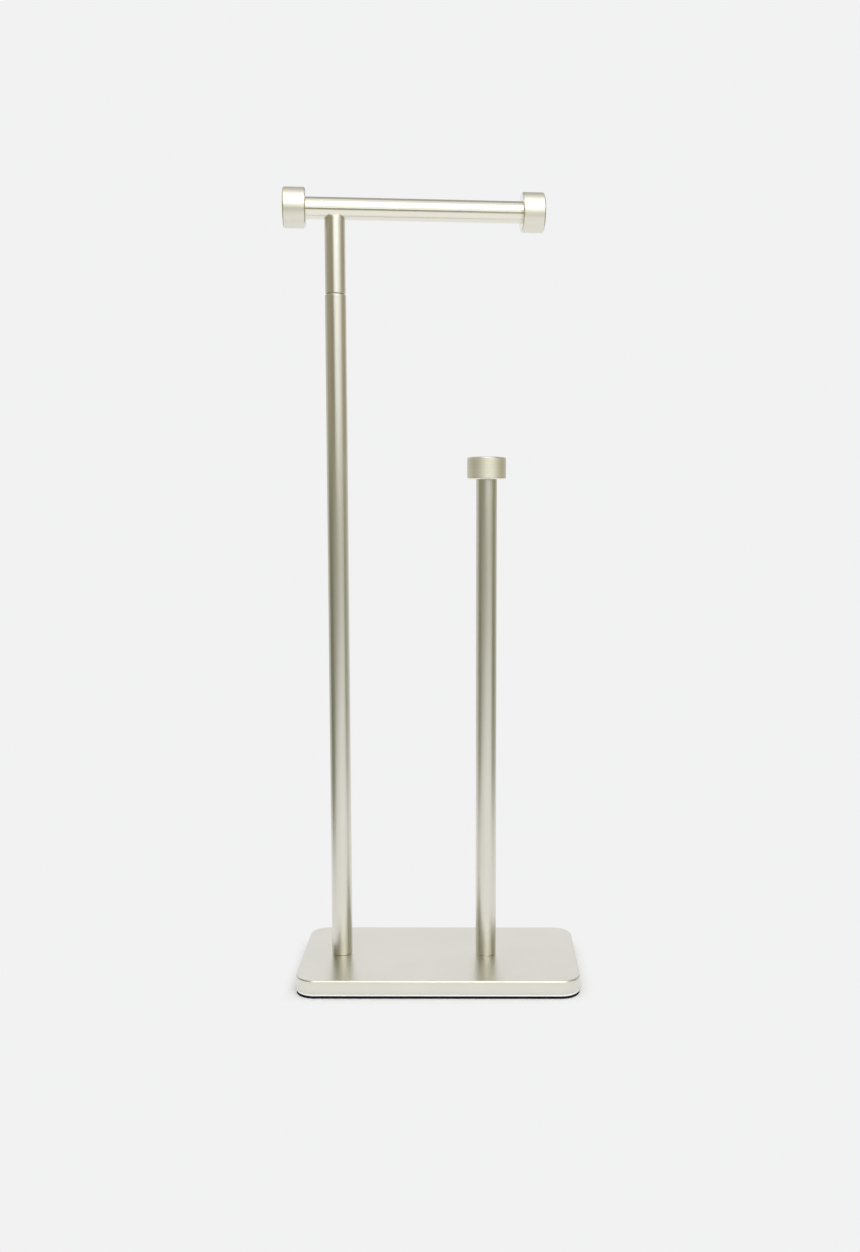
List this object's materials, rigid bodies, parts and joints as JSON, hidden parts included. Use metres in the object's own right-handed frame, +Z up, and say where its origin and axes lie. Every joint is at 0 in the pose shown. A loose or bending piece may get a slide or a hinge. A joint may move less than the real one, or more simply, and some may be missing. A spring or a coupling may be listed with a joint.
{
  "type": "freestanding toilet paper holder",
  "caption": "Freestanding toilet paper holder: heavy rounded plate, tall post with a swivelling capped crossbar for the roll in use, and a shorter capped post for spare rolls.",
  "frame": {"origin": "centre of the pad's underside, on the surface that the holder stands on", "axes": "+Z up; +X from the tall post towards the spare roll post; +Y to the back, away from the picture's camera"},
  "size_m": [0.2239, 0.118, 0.6018],
  "materials": {
    "satin_nickel": "warm satin nickel plate on steel",
    "zinc_steel": "bright zinc plate",
    "raw_steel": "turned steel, oiled",
    "spring_steel": "blackened spring steel",
    "black_foam": "matte black foam rubber",
    "white_foam": "white foam tape",
    "dark_nylon": "dark moulded nylon"
  },
  "bodies": {
    "stand": {"base_plate": "satin_nickel", "nonslip_pad": "black_foam", "pad_backing": "white_foam", "main_post": "satin_nickel", "main_post_foot_plug": "raw_steel", "main_post_screw": "zinc_steel", "main_post_lock_washer": "spring_steel", "main_post_head_plug": "raw_steel", "reserve_post": "satin_nickel", "reserve_post_foot_plug": "raw_steel", "reserve_post_screw": "zinc_steel", "reserve_post_lock_washer": "spring_steel", "reserve_post_head_plug": "raw_steel", "reserve_cap": "satin_nickel", "reserve_cap_stud": "zinc_steel", "swivel_bush": "dark_nylon", "swivel_wave_washer": "spring_steel"},
    "arm": {"swivel_screw": "zinc_steel", "stub_post": "satin_nickel", "stub_lower_plug": "raw_steel", "stub_saddle_plug": "raw_steel", "arm_screw": "zinc_steel", "arm_screw_lock_washer": "spring_steel", "arm_tube": "satin_nickel", "arm_core": "raw_steel", "arm_end_plug_left": "raw_steel", "arm_end_plug_right": "raw_steel", "arm_cap_stud_left": "zinc_steel", "arm_cap_stud_right": "zinc_steel", "arm_cap_left": "satin_nickel", "arm_cap_right": "satin_nickel"}
  },
  "joints": [
    {"name": "arm_swivel", "type": "hinge", "parent": "stand", "child": "arm", "pos_m": [-0.077, 0, 0.5242], "axis": [0, 0, 1], "continuous": true}
  ]
}
